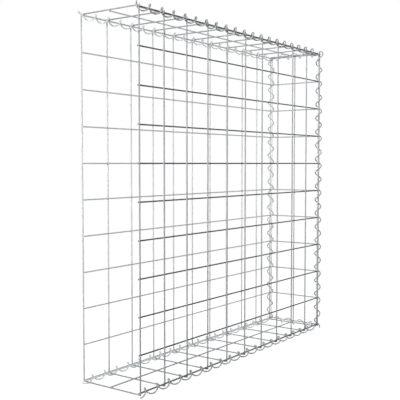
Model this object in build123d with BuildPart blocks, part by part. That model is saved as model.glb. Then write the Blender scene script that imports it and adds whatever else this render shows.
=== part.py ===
"""Welded wire gabion basket: five mesh panels laced together along their edges by eight wire spirals.

The basket is one bay of a wall. Its left end is open, so that it can be laced on to the bay beside it.
X runs along the wall towards the closed end, Y runs from the front face to the back face, Z is up.
The origin is on the ground, under the middle of the bay.
"""
from build123d import *
import os
from math import asin, ceil, cos, floor, hypot, pi, sin, sqrt

# Welded mesh
mesh_spacing = 100.0
cells_along = 10
cells_deep = 2
cells_high = 10
wire_diameter = 4.0
wire_sides = 6
weld_sink = 0.6
stub_length = 5.0

# Lacing spirals
spiral_diameter = 21.0
spiral_wire_diameter = 4.0
spiral_wire_sides = 4
turns_per_cell = 2
stations_per_turn = 8
tail_length = 18.0
LEFT_HAND = -1
RIGHT_HAND = 1

# Shares of a spiral's pitch: where the lower and upright spirals pass a wire, and the opened first turn
base_lay_share = 0.36
corner_lay_share = 0.29
open_turn_share = 0.4

# How closely one panel's edge wire lies against the next panel's, and a spiral against both
seat_gap = 0.3


def corner_reach(diameter, sides):
    """Centre to corner of a many-sided wire with the same section area as a round one."""
    return diameter / 2 * sqrt(2 * pi / (sides * sin(2 * pi / sides)))


# Wire sections: the corners of a mesh wire face the layer that it is welded to
wire_reach = corner_reach(wire_diameter, wire_sides)
wire_flat = wire_reach * cos(pi / wire_sides)
strand_reach = corner_reach(spiral_wire_diameter, spiral_wire_sides)
layer_step = wire_diameter - weld_sink
nest_step = wire_reach + seat_gap + wire_flat

# Basket sizes between the edge wires of the front and back panels
basket_length = mesh_spacing * cells_along
basket_depth = mesh_spacing * cells_deep
basket_height = mesh_spacing * cells_high
half_length = basket_length / 2
half_depth = basket_depth / 2

# Spiral geometry: pitch, advance per radian, and the room that a strand needs beside a wire
spiral_radius = spiral_diameter / 2
spiral_pitch = mesh_spacing / turns_per_cell
rise = spiral_pitch / (2 * pi)
strand_room = strand_reach + wire_reach + seat_gap
hug = spiral_radius - strand_room / cos(pi / stations_per_turn)

# Each spiral's axis lies between the two edges that it laces, and its strand touches the inner edge wire
lid_step = nest_step - layer_step
edge_drop = nest_step / 2
hug_drop = edge_drop - lid_step
hug_run = sqrt(hug ** 2 - hug_drop ** 2)
spiral_offset = half_depth - nest_step + hug_run

# The tilt at which a strand passes the outer wires of the lid, and where it must then pass the inner wire
pass_tilt = asin(edge_drop / spiral_radius)
pass_run = spiral_radius * cos(pass_tilt)
pass_room = (strand_room + seat_gap) * hypot(pass_run, rise) / pass_run
lay = pass_room + rise * (pass_tilt + asin(hug_drop / hug))
base_lay = spiral_pitch * base_lay_share
corner_lay = spiral_pitch * corner_lay_share

# Levels above the ground, which the lower spirals touch, and the spirals' stop in the closed end's corners
base_level = edge_drop + spiral_radius + strand_reach
top_level = base_level + basket_height
corner_stop = spiral_radius + 2 * strand_reach + seat_gap

length_marks = [mesh_spacing * i - half_length for i in range(cells_along + 1)]
height_marks = [mesh_spacing * i for i in range(cells_high + 1)]
lid_marks = length_marks[:-1] + [half_length - nest_step]
cross_marks = [nest_step - half_depth, 0, half_depth - nest_step]

os.makedirs("parts", exist_ok=True)


def welded_panel(name, face, inner_marks, inner_run, outer_marks, outer_run):
    """A flat mesh: inner wires along the face's x, outer wires along its y, fused where they cross."""
    inner_start, inner_end = inner_run
    outer_start, outer_end = outer_run
    inner_origin = face.from_local_coords((inner_start, 0, 0))
    outer_origin = face.from_local_coords((0, outer_start, layer_step))
    with BuildPart() as panel:
        with BuildSketch(Plane(inner_origin, x_dir=face.y_dir, z_dir=face.x_dir)):
            with Locations(*[(mark, 0) for mark in inner_marks]):
                RegularPolygon(wire_reach, wire_sides, rotation=90)
        extrude(amount=inner_end - inner_start)
        with BuildSketch(Plane(outer_origin, x_dir=face.x_dir, z_dir=face.y_dir)):
            with Locations(*[(mark, 0) for mark in outer_marks]):
                RegularPolygon(wire_reach, wire_sides, rotation=90)
        extrude(amount=outer_end - outer_start)
    panel.part.label = name
    export_step(panel.part, f"parts/{name}.step")


def lacing_spiral(name, course, run, mark, hand, tail=0):
    """A coil about the course's z axis, passing its x side at the mark and again every pitch.

    The tail is the length of wire that runs on straight from the coil's first end.
    """
    first, last = run
    station_step = spiral_pitch / stations_per_turn
    first_station = ceil((first - mark) / station_step)
    last_station = floor((last - mark) / station_step)
    points = []
    for station in range(first_station, last_station + 1):
        turn = hand * 2 * pi * station / stations_per_turn
        across = spiral_radius * cos(turn)
        up = spiral_radius * sin(turn)
        points.append(course.from_local_coords((across, up, mark + station * station_step)))
    points[0] = points[0] + (points[0] - points[1]).normalized() * tail
    with BuildPart() as spiral:
        with BuildLine() as coil:
            Polyline(*points)
        with BuildSketch(Plane(coil.line @ 0, z_dir=coil.line % 0)):
            RegularPolygon(strand_reach, spiral_wire_sides)
        sweep(transition=Transition.RIGHT)
    spiral.part.label = name
    export_step(spiral.part, f"parts/{name}.step")


# Front and back panels: upright wires outside, level wires inside, cut flush at the closed end
level_reach = half_length + stub_length
level_flush = half_length + wire_flat
upright_run = (-stub_length, basket_height + stub_length)

front_face = Plane((0, -half_depth, base_level), x_dir=(1, 0, 0), z_dir=(0, -1, 0))
welded_panel("front_panel", front_face, height_marks, (-level_reach, level_flush), length_marks, upright_run)

back_face = Plane((0, half_depth, base_level), x_dir=(-1, 0, 0), z_dir=(0, 1, 0))
back_marks = [-mark for mark in length_marks]
welded_panel("back_panel", back_face, height_marks, (-level_flush, level_reach), back_marks, upright_run)

# Lid and base: short wires outside, resting on the edge wires of the front and back, long wires nested inside
lid_run = (-level_reach, half_length + nest_step - layer_step - wire_reach - seat_gap)
short_reach = half_depth + wire_flat / 2
short_run = (-short_reach, short_reach)

lid_face = Plane((0, 0, top_level + lid_step), x_dir=(1, 0, 0), z_dir=(0, 0, 1))
welded_panel("lid_panel", lid_face, cross_marks, lid_run, lid_marks, short_run)

base_face = Plane((0, 0, base_level - lid_step), x_dir=(1, 0, 0), z_dir=(0, 0, -1))
welded_panel("base_panel", base_face, cross_marks, lid_run, lid_marks, short_run)

# Closed end: level wires outside, across the ends of the front and back, upright wires nested inside
end_reach = half_depth + layer_step
end_face = Plane((half_length + lid_step, 0, base_level), x_dir=(0, 0, 1), z_dir=(1, 0, 0))
end_upright_run = (-wire_flat, basket_height + wire_flat)
welded_panel("end_panel", end_face, cross_marks, end_upright_run, height_marks, (-end_reach, end_reach))

# Level spirals along the front and back: each strand of the upper ones lies beside an outer wire of the lid
upright_axis = half_length + edge_drop
upper_axis = top_level + edge_drop
lower_axis = base_level - edge_drop
long_stop = upright_axis - corner_stop
long_run = (-level_reach, long_stop)

top_front_course = Plane((0, -spiral_offset, upper_axis), x_dir=(0, hug_run, -hug_drop), z_dir=(1, 0, 0))
lacing_spiral("top_front_spiral", top_front_course, long_run, lay - half_length, LEFT_HAND)

base_front_course = Plane((0, -spiral_offset, lower_axis), x_dir=(0, hug_run, hug_drop), z_dir=(1, 0, 0))
lacing_spiral("base_front_spiral", base_front_course, long_run, -base_lay - half_length, LEFT_HAND)

base_back_course = Plane((0, spiral_offset, lower_axis), x_dir=(0, -hug_run, hug_drop), z_dir=(1, 0, 0))
lacing_spiral("base_back_spiral", base_back_course, long_run, base_lay - half_length, LEFT_HAND)

# The upper spiral at the back begins with its first turn pulled open into a straight tail
opened_run = (spiral_pitch * open_turn_share - half_length, long_stop)
top_back_course = Plane((0, spiral_offset, upper_axis), x_dir=(0, -hug_run, -hug_drop), z_dir=(1, 0, 0))
lacing_spiral("top_back_spiral", top_back_course, opened_run, -lay - half_length, LEFT_HAND, tail_length)

# Level spirals across the closed end, midway between its edge wire and the last wire of the lid or base
short_stop = spiral_offset - corner_stop
across_run = (-short_stop, short_stop)

top_end_course = Plane((half_length, 0, upper_axis), x_dir=(-nest_step, 0, edge_drop), z_dir=(0, 1, 0))
lacing_spiral("top_end_spiral", top_end_course, across_run, lay, LEFT_HAND)

base_end_course = Plane((half_length, 0, lower_axis), x_dir=(-nest_step, 0, -edge_drop), z_dir=(0, 1, 0))
lacing_spiral("base_end_spiral", base_end_course, across_run, -lay, LEFT_HAND)

# Upright spirals in the two corners of the closed end, mirror images of each other
upright_spiral_run = (-spiral_radius, basket_height + spiral_radius)

front_foot = (upright_axis, -spiral_offset, base_level)
front_corner_course = Plane(front_foot, x_dir=(-hug_drop, hug_run, 0), z_dir=(0, 0, 1))
lacing_spiral("front_corner_spiral", front_corner_course, upright_spiral_run, corner_lay, RIGHT_HAND)

back_foot = (upright_axis, spiral_offset, base_level)
back_corner_course = Plane(back_foot, x_dir=(-hug_drop, -hug_run, 0), z_dir=(0, 0, 1))
lacing_spiral("back_corner_spiral", back_corner_course, upright_spiral_run, corner_lay, LEFT_HAND)
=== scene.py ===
import math
import bmesh
import bpy
from mathutils import Matrix, Vector, geometry


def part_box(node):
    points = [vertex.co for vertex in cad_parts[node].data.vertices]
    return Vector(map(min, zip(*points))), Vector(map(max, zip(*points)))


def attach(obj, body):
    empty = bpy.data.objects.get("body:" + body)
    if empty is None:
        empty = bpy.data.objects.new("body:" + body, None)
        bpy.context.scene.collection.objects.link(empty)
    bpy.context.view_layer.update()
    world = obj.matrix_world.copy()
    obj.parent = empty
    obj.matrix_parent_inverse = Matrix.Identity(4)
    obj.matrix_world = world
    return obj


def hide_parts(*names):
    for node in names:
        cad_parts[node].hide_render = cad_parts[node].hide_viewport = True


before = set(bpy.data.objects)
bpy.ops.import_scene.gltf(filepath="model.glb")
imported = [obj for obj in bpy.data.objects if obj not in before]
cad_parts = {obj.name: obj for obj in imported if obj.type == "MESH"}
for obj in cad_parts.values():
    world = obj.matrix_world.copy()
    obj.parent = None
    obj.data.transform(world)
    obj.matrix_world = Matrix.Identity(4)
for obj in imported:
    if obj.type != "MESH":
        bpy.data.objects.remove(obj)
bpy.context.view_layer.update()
scene = bpy.context.scene


# Front and back meshes: flat sheets of hard-drawn steel wire on a 100 mm grid, upright wires outside and
# level wires inside, the level ones cut flush. The wires are resistance-welded where they cross, so they
# sink a little into each other, and the zinc is burnt dull around each weld.
mesh_spacing = 0.100
wire_radius = 0.002
wire_sides = 12
weld_sink = 0.0006
layer_step = 2 * wire_radius - weld_sink
stub_length = 0.005
cut_rounding = 0.0003
sharp_angle = math.radians(50)
bead_sides = 8
bead_radius = 1.2 * wire_radius
bead_thickness = 1.2 * wire_radius
bead_rounding = 0.45 * bead_thickness
bead_heat = 0.35
zinc_cast = (1, 1.025, 1.05)


def zinc_finish_and_shade(name, tone, second_tone, metal, gloss):
    """Hot-dip zinc with painted shade: two tones, mixed by a wire's tone share, stand in for how light
    falls on each wire; the spangles, bloom, grain and burnt welds are the zinc's own.
    """
    material = bpy.data.materials.new(name)
    material.use_nodes = True
    nodes = material.node_tree.nodes
    links = material.node_tree.links
    shader = nodes["Principled BSDF"]
    place = nodes.new("ShaderNodeTexCoord")

    tone_share = nodes.new("ShaderNodeAttribute")
    tone_share.attribute_name = "tone_share"
    # Painted shade: the tone share mixes the two tones that stand in for light and shade on each wire
    wire_tone = nodes.new("ShaderNodeMix")
    wire_tone.data_type = "RGBA"
    wire_tone.inputs["A"].default_value = [tone * cast for cast in zinc_cast] + [1]
    wire_tone.inputs["B"].default_value = [second_tone * cast for cast in zinc_cast] + [1]
    links.new(tone_share.outputs["Fac"], wire_tone.inputs["Factor"])

    spangle = nodes.new("ShaderNodeTexVoronoi")
    spangle.inputs["Scale"].default_value = 260
    links.new(place.outputs["Object"], spangle.inputs["Vector"])
    spangle_value = nodes.new("ShaderNodeSeparateColor")
    links.new(spangle.outputs["Color"], spangle_value.inputs["Color"])
    spangle_lift = nodes.new("ShaderNodeMapRange")
    spangle_lift.inputs["To Min"].default_value = 0.92
    spangle_lift.inputs["To Max"].default_value = 1.08
    links.new(spangle_value.outputs["Red"], spangle_lift.inputs["Value"])

    bloom = nodes.new("ShaderNodeTexNoise")
    bloom.inputs["Scale"].default_value = 24
    bloom.inputs["Detail"].default_value = 4
    bloom.inputs["Roughness"].default_value = 0.6
    links.new(place.outputs["Object"], bloom.inputs["Vector"])
    bloom_lift = nodes.new("ShaderNodeMapRange")
    bloom_lift.inputs["From Min"].default_value = 0.5
    bloom_lift.inputs["From Max"].default_value = 0.75
    bloom_lift.inputs["To Min"].default_value = 1.0
    bloom_lift.inputs["To Max"].default_value = 1.18
    links.new(bloom.outputs["Fac"], bloom_lift.inputs["Value"])

    patina = nodes.new("ShaderNodeMath")
    patina.operation = "MULTIPLY"
    links.new(spangle_lift.outputs["Result"], patina.inputs[0])
    links.new(bloom_lift.outputs["Result"], patina.inputs[1])
    patina_tone = nodes.new("ShaderNodeMix")
    patina_tone.data_type = "RGBA"
    patina_tone.blend_type = "MULTIPLY"
    patina_tone.inputs["Factor"].default_value = 1
    links.new(wire_tone.outputs["Result"], patina_tone.inputs["A"])
    links.new(patina.outputs["Value"], patina_tone.inputs["B"])

    weld_heat = nodes.new("ShaderNodeAttribute")
    weld_heat.attribute_name = "weld_heat"
    burnt_tone = nodes.new("ShaderNodeMix")
    burnt_tone.data_type = "RGBA"
    burnt_tone.inputs["B"].default_value = (0.16, 0.16, 0.165, 1)
    links.new(patina_tone.outputs["Result"], burnt_tone.inputs["A"])
    links.new(weld_heat.outputs["Fac"], burnt_tone.inputs["Factor"])
    links.new(burnt_tone.outputs["Result"], shader.inputs["Base Color"])

    dullness = nodes.new("ShaderNodeMapRange")
    dullness.inputs["To Min"].default_value = 0.44
    dullness.inputs["To Max"].default_value = 0.68
    links.new(bloom.outputs["Fac"], dullness.inputs["Value"])
    links.new(dullness.outputs["Result"], shader.inputs["Roughness"])

    grain = nodes.new("ShaderNodeTexNoise")
    grain.inputs["Scale"].default_value = 900
    grain.inputs["Detail"].default_value = 2
    links.new(place.outputs["Object"], grain.inputs["Vector"])
    grain_bump = nodes.new("ShaderNodeBump")
    grain_bump.inputs["Strength"].default_value = 0.25
    grain_bump.inputs["Distance"].default_value = 0.0002
    links.new(grain.outputs["Fac"], grain_bump.inputs["Height"])
    links.new(grain_bump.outputs["Normal"], shader.inputs["Normal"])

    shader.inputs["Metallic"].default_value = metal
    shader.inputs["Specular IOR Level"].default_value = gloss
    return material


def laid_along(centre, run):
    """The place of a shape that stands on its Z axis, laid along a run of wire."""
    return Matrix.Translation(centre) @ run.to_track_quat("Z", "Y").to_matrix().to_4x4()


def straight_wire(bm, start, end, share, tone_share):
    """One straight wire, sheared square at both ends."""
    run = end - start
    place = laid_along((start + end) / 2, run)
    wire = bmesh.ops.create_cone(bm, cap_ends=True, segments=wire_sides, radius1=wire_radius,
                                 radius2=wire_radius, depth=run.length, matrix=place)
    for vert in wire["verts"]:
        vert[tone_share] = share


def weld_bead(bm, inner_point, outer_point):
    """The disc of metal squeezed out between two crossing wires."""
    place = laid_along((inner_point + outer_point) / 2, outer_point - inner_point)
    bmesh.ops.create_cone(bm, cap_ends=True, segments=bead_sides, radius1=bead_radius, radius2=bead_radius,
                          depth=bead_thickness, matrix=place)


def round_rims(bm, sides, rounding):
    """Rounds the rims of all end faces that have the given number of sides."""
    rims = [edge for face in bm.faces if len(face.verts) == sides for edge in face.edges]
    bmesh.ops.bevel(bm, geom=rims, offset=rounding, offset_type="OFFSET", segments=2, profile=0.5,
                    affect="EDGES", material=-1)


def finished_piece(name, bm, finish_and_shade):
    """Turns a bmesh into the piece that stands for the frame's node of the same name."""
    bmesh.ops.recalc_face_normals(bm, faces=bm.faces[:])
    mesh = bpy.data.meshes.new(name)
    bm.to_mesh(mesh)
    bm.free()
    mesh.shade_smooth()
    mesh.set_sharp_from_angle(angle=sharp_angle)
    mesh.materials.append(finish_and_shade)
    piece = bpy.data.objects.new(name + "_wire", mesh)
    scene.collection.objects.link(piece)
    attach(piece, "root")
    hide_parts(name)


def welded_mesh(name, inner_wires, inner_shares, outer_wires, finish_and_shade):
    """A sheet of welded mesh from the end points of its wires.

    The outer wires have the second painted shade tone, and each inner wire has its own share of it.
    """
    bm = bmesh.new()
    weld_heat = bm.verts.layers.float.new("weld_heat")
    tone_share = bm.verts.layers.float.new("tone_share")
    for inner in inner_wires:
        for outer in outer_wires:
            weld_bead(bm, *geometry.intersect_line_line(*inner, *outer))
    round_rims(bm, bead_sides, bead_rounding)
    for vert in bm.verts:
        vert[weld_heat] = bead_heat
        vert[tone_share] = 1
    for (start, end), share in zip(inner_wires, inner_shares):
        straight_wire(bm, start, end, share, tone_share)
    for start, end in outer_wires:
        straight_wire(bm, start, end, 1, tone_share)
    round_rims(bm, wire_sides, cut_rounding)
    finished_piece(name, bm, finish_and_shade)


# The frame's bars are six-sided, with the round wire's section area and a corner on the outside
bar_sides = 6
bar_turn = 2 * math.pi / bar_sides
bar_reach = wire_radius * math.sqrt(bar_turn / math.sin(bar_turn))
face_low, face_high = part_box("front_panel")
base_level = face_low.z + stub_length
top_level = face_high.z - stub_length
left_edge = face_low.x + stub_length
upright_offset = -face_low.y - bar_reach
level_offset = upright_offset - layer_step
cells_high = round((top_level - base_level) / mesh_spacing)
cells_along = round((face_high.x - left_edge) / mesh_spacing)
level_marks = [base_level + mesh_spacing * i for i in range(cells_high + 1)]
upright_marks = [left_edge + mesh_spacing * i for i in range(cells_along + 1)]
right_edge = upright_marks[-1]
cut_overrun = 0.0002
open_cut = left_edge - wire_radius
closed_cut = right_edge + cut_overrun

# Painted shade: the front's level wires are darker than its uprights, and the back is a lighter copy,
# painted light.
# The lowest and highest level wires are toned partly like the uprights
zinc_front_shaded = zinc_finish_and_shade("zinc_front_shaded", tone=0.175, second_tone=0.46, metal=0.0, gloss=0.1)
zinc_back_lit = zinc_finish_and_shade("zinc_back_lit", tone=0.56, second_tone=0.53, metal=0.5, gloss=0.5)
lowest_share = 0.8
highest_share = 0.35
level_shares = [lowest_share] + [0] * (cells_high - 1) + [highest_share]

for name, side, finish_and_shade in (("front_panel", -1, zinc_front_shaded), ("back_panel", 1, zinc_back_lit)):
    level_y = side * level_offset
    upright_y = side * upright_offset
    levels = [(Vector((open_cut, level_y, z)), Vector((closed_cut, level_y, z))) for z in level_marks]
    uprights = [(Vector((x, upright_y, face_low.z)), Vector((x, upright_y, face_high.z)))
                for x in upright_marks]
    welded_mesh(name, levels, level_shares, uprights, finish_and_shade)


# Lid and base meshes: narrow sheets of the same wire, three long wires inside and short wires outside. The
# base's short wires pass under the lowest level wires of the front and back, and the lid's end beside the
# highest ones. The last short wire sits in from the closed end.
# Painted shade: the lid's and base's short wires and the base's middle long wire are darker than the other
# long wires, and the lid is darker than the base.
zinc_lid = zinc_finish_and_shade("zinc_lid", tone=0.54, second_tone=0.36, metal=0.7, gloss=0.5)
zinc_base = zinc_finish_and_shade("zinc_base", tone=0.66, second_tone=0.36, metal=0.75, gloss=0.5)
lid_drop = 0.0016
open_end_step = 0.0019
seat_gap = 0.0003
nest_step = bar_reach * (1 + math.cos(bar_turn / 2)) + seat_gap
long_marks = [nest_step - level_offset, 0, level_offset - nest_step]
short_marks = [left_edge + open_end_step] + upright_marks[1:-1] + [right_edge - nest_step]

lid_low, lid_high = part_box("lid_panel")
base_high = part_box("base_panel")[1]
lid_level = lid_low.z + bar_reach - lid_drop
floor_level = base_high.z - bar_reach
lid_reach = level_offset - wire_radius
for name, up, long_level, long_shares, short_reach, finish_and_shade in (
        ("lid_panel", 1, lid_level, [0, 0, 0], lid_reach, zinc_lid),
        ("base_panel", -1, floor_level, [0, 1, 0], base_high.y, zinc_base)):
    short_level = long_level + up * layer_step
    longs = [(Vector((open_cut, y, long_level)), Vector((lid_high.x, y, long_level))) for y in long_marks]
    shorts = [(Vector((x, -short_reach, short_level)), Vector((x, short_reach, short_level)))
              for x in short_marks]
    welded_mesh(name, longs, long_shares, shorts, finish_and_shade)


# Closed end: a narrow sheet with three uprights inside and level wires outside, which cross the cut ends of
# the front and back meshes at every level. Its edge uprights stand in the corners, inside the lacing.
# Painted shade: the end's level wires and middle upright are darker than its other uprights.
zinc_end = zinc_finish_and_shade("zinc_end", tone=0.66, second_tone=0.44, metal=0.5, gloss=0.5)
end_step = 0.0024
end_edge = level_offset - wire_radius
end_marks = [-end_edge, 0, end_edge]
end_low, end_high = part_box("end_panel")
inner_x = right_edge + end_step
outer_x = inner_x + layer_step
end_uprights = [(Vector((inner_x, y, end_low.z)), Vector((inner_x, y, end_high.z))) for y in end_marks]
end_levels = [(Vector((outer_x, end_low.y, z)), Vector((outer_x, end_high.y, z))) for z in level_marks]
welded_mesh("end_panel", end_uprights, [0, 1, 0], end_levels, zinc_end)


# Level lacing spirals along the front and back: 4 mm spring wire wound at a 50 mm pitch and screwed on
# along the edge, so that each turn passes round the edge wires of both meshes between their cross wires.
# The upper one at the back begins with a straight tail.
coil_radius = 0.0105
coil_pitch = mesh_spacing / 2
steps_per_turn = 24
LEFT_HAND = -1
RIGHT_HAND = 1
X = Vector((1, 0, 0))
Y = Vector((0, 1, 0))
Z = Vector((0, 0, 1))


def of_kind(items, kind):
    """The faces or vertices among the results of a bmesh operator."""
    return [item for item in items if isinstance(item, kind)]


def lacing_spiral(name, foot, axis, toward, turns, hand, finish_and_shade, tail=0, opened=()):
    """A coil about an axis: it is on the toward side of the foot at turn 0, and runs over the given turns.

    The tail is the straight length before the first turn. The opened parts follow the last turn, each with
    its share of a turn, its pitch and how far its axis is moved.
    """
    first, last = turns
    start_angle = hand * 2 * math.pi * first
    toward = toward.normalized()
    out = toward * math.cos(start_angle) + axis.cross(toward) * math.sin(start_angle)
    start = foot + axis * coil_pitch * first + out * coil_radius
    turn_run = axis.cross(out) * hand * 2 * math.pi * coil_radius + axis * coil_pitch
    tangent = turn_run.normalized()

    bm = bmesh.new()
    tone_share = bm.verts.layers.float.new("tone_share")
    bmesh.ops.create_circle(bm, cap_ends=True, segments=wire_sides, radius=wire_radius,
                            matrix=laid_along(start - tangent * tail, tangent))
    section = bm.faces[:]
    if tail:
        for vert in bm.verts:
            vert[tone_share] = 1
        grown = bmesh.ops.extrude_face_region(bm, geom=section)["geom"]
        section = of_kind(grown, bmesh.types.BMFace)
        moved = of_kind(grown, bmesh.types.BMVert)
        bmesh.ops.translate(bm, vec=tangent * tail, verts=moved)
        for vert in moved:
            vert[tone_share] = 0
    for share, pitch, move in [(last - first, coil_pitch, Vector())] + list(opened):
        spun = bmesh.ops.spin(bm, geom=section, cent=foot + move, axis=axis,
                              dvec=axis * pitch / steps_per_turn, angle=hand * 2 * math.pi * share,
                              steps=round(share * steps_per_turn))
        section = of_kind(spun["geom_last"], bmesh.types.BMFace)
    round_rims(bm, wire_sides, cut_rounding)
    finished_piece(name, bm, finish_and_shade)


# Painted shade: the spirals take darker or lighter copies of one zinc, the top front and front corner ones
# darkest. The back upper spiral's tail gets darker towards its tip.
zinc_spiral_dull_shaded = zinc_finish_and_shade("zinc_spiral_dull_shaded", tone=0.45, second_tone=0.45, metal=0.1, gloss=0.3)
zinc_spiral_satin_half_lit = zinc_finish_and_shade("zinc_spiral_satin_half_lit", tone=0.58, second_tone=0.58, metal=0.2, gloss=0.3)
zinc_spiral_bright_lit = zinc_finish_and_shade("zinc_spiral_bright_lit", tone=0.68, second_tone=0.3, metal=0.6, gloss=0.5)

# A lay is how far from the first upright a strand passes the edge wires, and the hug is its way in to them
upper_lay = 0.01029
lower_lay = 0.018
hug_run = 0.00494
hug_drop = 0.0012
coil_shift = 0.0012
tail_length = 0.026
upper_low, upper_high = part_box("top_front_spiral")
lower_low, lower_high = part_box("base_front_spiral")
upper_axis = (upper_low.z + upper_high.z) / 2 - coil_shift
lower_axis = (lower_low.z + lower_high.z) / 2 + coil_shift
coil_offset = -(upper_low.y + upper_high.y) / 2

lacing_spiral("top_front_spiral", Vector((left_edge + upper_lay, -coil_offset, upper_axis)), X,
              toward=Vector((0, hug_run, -hug_drop)), turns=(-0.25, 19.5), hand=LEFT_HAND,
              finish_and_shade=zinc_spiral_dull_shaded)
lacing_spiral("top_back_spiral", Vector((left_edge - upper_lay, coil_offset, upper_axis)), X,
              toward=Vector((0, -hug_run, -hug_drop)), turns=(0.625, 19.875), hand=LEFT_HAND,
              finish_and_shade=zinc_spiral_bright_lit, tail=tail_length)
lacing_spiral("base_front_spiral", Vector((left_edge - lower_lay, -coil_offset, lower_axis)), X,
              toward=Vector((0, hug_run, hug_drop)), turns=(1 / 3, 20), hand=LEFT_HAND,
              finish_and_shade=zinc_spiral_satin_half_lit)
lacing_spiral("base_back_spiral", Vector((left_edge + lower_lay, coil_offset, lower_axis)), X,
              toward=Vector((0, -hug_run, hug_drop)), turns=(-5 / 12, 19.25), hand=LEFT_HAND,
              finish_and_shade=zinc_spiral_bright_lit)


# Level lacing spirals across the closed end, of the same wire, which hold its edge wires to the last short
# wires of the lid and base. They are cut short of the upright spirals in the corners.
lacing_spiral("top_end_spiral", Vector((right_edge, upper_lay, upper_axis)), Y,
              toward=Vector((-2, 0, 1)), turns=(-1.875, 1.375), hand=LEFT_HAND, finish_and_shade=zinc_spiral_bright_lit)
lacing_spiral("base_end_spiral", Vector((right_edge, -upper_lay, lower_axis - coil_shift)), Y,
              toward=Vector((-2, 0, -1)), turns=(-1.375, 1.875), hand=LEFT_HAND, finish_and_shade=zinc_spiral_bright_lit)


# Upright lacing spirals in the closed end's two corners, wound as mirror images, from below the base to
# above the lid. The front one's last turn is pulled open at the top, and the back one sits further out.
corner_lay = 0.0145
back_shift = 0.002
corner_low, corner_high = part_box("front_corner_spiral")
corner_axis = (corner_low.x + corner_high.x) / 2
front_foot = Vector((corner_axis, -coil_offset, base_level + corner_lay))
back_foot = Vector((corner_axis, coil_offset + back_shift, base_level + corner_lay - back_shift))

pulled_out = Vector((0.0008, -0.0011, 0))
pulled_turn = [(12 / steps_per_turn, 0.068, pulled_out),
               (3 / steps_per_turn, 0.075, pulled_out),
               (4 / steps_per_turn, 0, pulled_out)]
lacing_spiral("front_corner_spiral", front_foot, Z, toward=Vector((-hug_drop, hug_run, 0)),
              turns=(-0.5, 19 + 1 / steps_per_turn), hand=RIGHT_HAND, finish_and_shade=zinc_spiral_dull_shaded,
              opened=pulled_turn)
lacing_spiral("back_corner_spiral", back_foot, Z, toward=Vector((-hug_drop, -hug_run, 0)),
              turns=(-0.5, 19.875), hand=LEFT_HAND, finish_and_shade=zinc_spiral_satin_half_lit)


# Floor: a sheet of white studio paper under the basket. It keeps the wires' faint shadow and fades into
# the white background.
floor_size = 30
fade_start = 0.6
fade_end = 1.8
paper_glow = 0.83


def seen_rays(nodes, links):
    """1 for what the camera sees, straight or in a reflection or refraction, and 0 for light that lands."""
    path = nodes.new("ShaderNodeLightPath")
    straight_or_mirrored = nodes.new("ShaderNodeMath")
    straight_or_mirrored.operation = "MAXIMUM"
    links.new(path.outputs["Is Camera Ray"], straight_or_mirrored.inputs[0])
    links.new(path.outputs["Is Glossy Ray"], straight_or_mirrored.inputs[1])
    seen = nodes.new("ShaderNodeMath")
    seen.operation = "MAXIMUM"
    links.new(straight_or_mirrored.outputs["Value"], seen.inputs[0])
    links.new(path.outputs["Is Transmission Ray"], seen.inputs[1])
    return seen.outputs["Value"]


paper = bpy.data.materials.new("studio_paper")
paper.use_nodes = True
nodes = paper.node_tree.nodes
links = paper.node_tree.links
nodes.clear()
seen = seen_rays(nodes, links)
sheet = nodes.new("ShaderNodeBsdfDiffuse")
sheet.inputs["Color"].default_value = (0.8, 0.8, 0.8, 1)
glow_strength = nodes.new("ShaderNodeMath")
glow_strength.operation = "MULTIPLY"
glow_strength.inputs[1].default_value = paper_glow
links.new(seen, glow_strength.inputs[0])
glow = nodes.new("ShaderNodeEmission")
links.new(glow_strength.outputs["Value"], glow.inputs["Strength"])
lit_paper = nodes.new("ShaderNodeAddShader")
links.new(sheet.outputs["BSDF"], lit_paper.inputs[0])
links.new(glow.outputs["Emission"], lit_paper.inputs[1])

place = nodes.new("ShaderNodeTexCoord")
distance = nodes.new("ShaderNodeVectorMath")
distance.operation = "LENGTH"
links.new(place.outputs["Object"], distance.inputs[0])
fade = nodes.new("ShaderNodeMapRange")
fade.interpolation_type = "SMOOTHSTEP"
fade.inputs["From Min"].default_value = fade_start
fade.inputs["From Max"].default_value = fade_end
links.new(distance.outputs["Value"], fade.inputs["Value"])
seen_fade = nodes.new("ShaderNodeMath")
seen_fade.operation = "MULTIPLY"
links.new(fade.outputs["Result"], seen_fade.inputs[0])
links.new(seen, seen_fade.inputs[1])
white = nodes.new("ShaderNodeEmission")
mix = nodes.new("ShaderNodeMixShader")
links.new(seen_fade.outputs["Value"], mix.inputs["Fac"])
links.new(lit_paper.outputs["Shader"], mix.inputs[1])
links.new(white.outputs["Emission"], mix.inputs[2])
out = nodes.new("ShaderNodeOutputMaterial")
links.new(mix.outputs["Shader"], out.inputs["Surface"])

bm = bmesh.new()
bmesh.ops.create_grid(bm, x_segments=1, y_segments=1, size=floor_size / 2)
floor_mesh = bpy.data.meshes.new("studio_floor")
bm.to_mesh(floor_mesh)
bm.free()
floor_mesh.materials.append(paper)
floor = bpy.data.objects.new("studio_floor", floor_mesh)
scene.collection.objects.link(floor)


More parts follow.
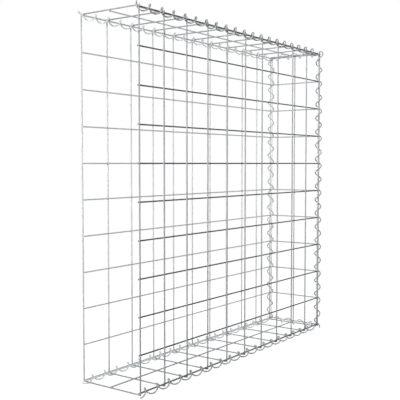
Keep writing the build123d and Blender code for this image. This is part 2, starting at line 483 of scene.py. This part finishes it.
# World: a dim even fill on the wires from all round the studio, which is white where the camera and
# reflections see it.
fill_level = 0.04
world = bpy.data.worlds.new("studio")
world.use_nodes = True
scene.world = world
nodes = world.node_tree.nodes
links = world.node_tree.links
nodes.clear()
fill = nodes.new("ShaderNodeBackground")
fill.inputs["Color"].default_value = (1, 1, 1, 1)
fill.inputs["Strength"].default_value = fill_level
white = nodes.new("ShaderNodeBackground")
white.inputs["Color"].default_value = (1, 1, 1, 1)
mix = nodes.new("ShaderNodeMixShader")
links.new(seen_rays(nodes, links), mix.inputs["Fac"])
links.new(fill.outputs["Background"], mix.inputs[1])
links.new(white.outputs["Background"], mix.inputs[2])
out = nodes.new("ShaderNodeOutputWorld")
links.new(mix.outputs["Shader"], out.inputs["Surface"])


# Lamps: a soft key from the open end, a little to the left of the camera, whose beam thins out towards the
# floor, a large soft box overhead, and two weak fills, on the far side and at the closed end.
def soft_box(name, place, aim, size, beam, power):
    """A square lamp at a place, turned to its aim, with its beam in degrees and its power in watts."""
    lamp_data = bpy.data.lights.new(name, "AREA")
    lamp_data.size = size
    lamp_data.spread = math.radians(beam)
    lamp_data.energy = power
    lamp = bpy.data.objects.new(name, lamp_data)
    lamp.location = place
    lamp.rotation_euler = (Vector(place) - Vector(aim)).to_track_quat("Z", "Y").to_euler()
    scene.collection.objects.link(lamp)


soft_box("key", place=(-7.9, -1.3, 1.2), aim=(0, 0, 1.2), size=2, beam=24, power=18)
soft_box("overhead", place=(0, 0, 4), aim=(0, 0, 0), size=3, beam=180, power=22)
soft_box("far_fill", place=(4, 4.6, 3), aim=(0, 0, 0.5), size=3, beam=180, power=85)
soft_box("end_fill", place=(6.4, -1.6, 1.6), aim=(0, 0, 0.6), size=3, beam=180, power=40)


# Camera: at the open end, a little above mid-height, looking along the bay and slightly down.
camera_tilt = math.radians(90 - 2.919)
camera_turn = math.radians(-53.664)
camera_data = bpy.data.cameras.new("camera")
camera_data.sensor_width = 36
camera_data.lens = 64.51
camera = bpy.data.objects.new("camera", camera_data)
camera.location = (-1.8900, -1.3183, 0.6151)
camera.rotation_euler = (camera_tilt, 0, camera_turn)
scene.collection.objects.link(camera)
scene.camera = camera

scene.view_settings.view_transform = "Standard"
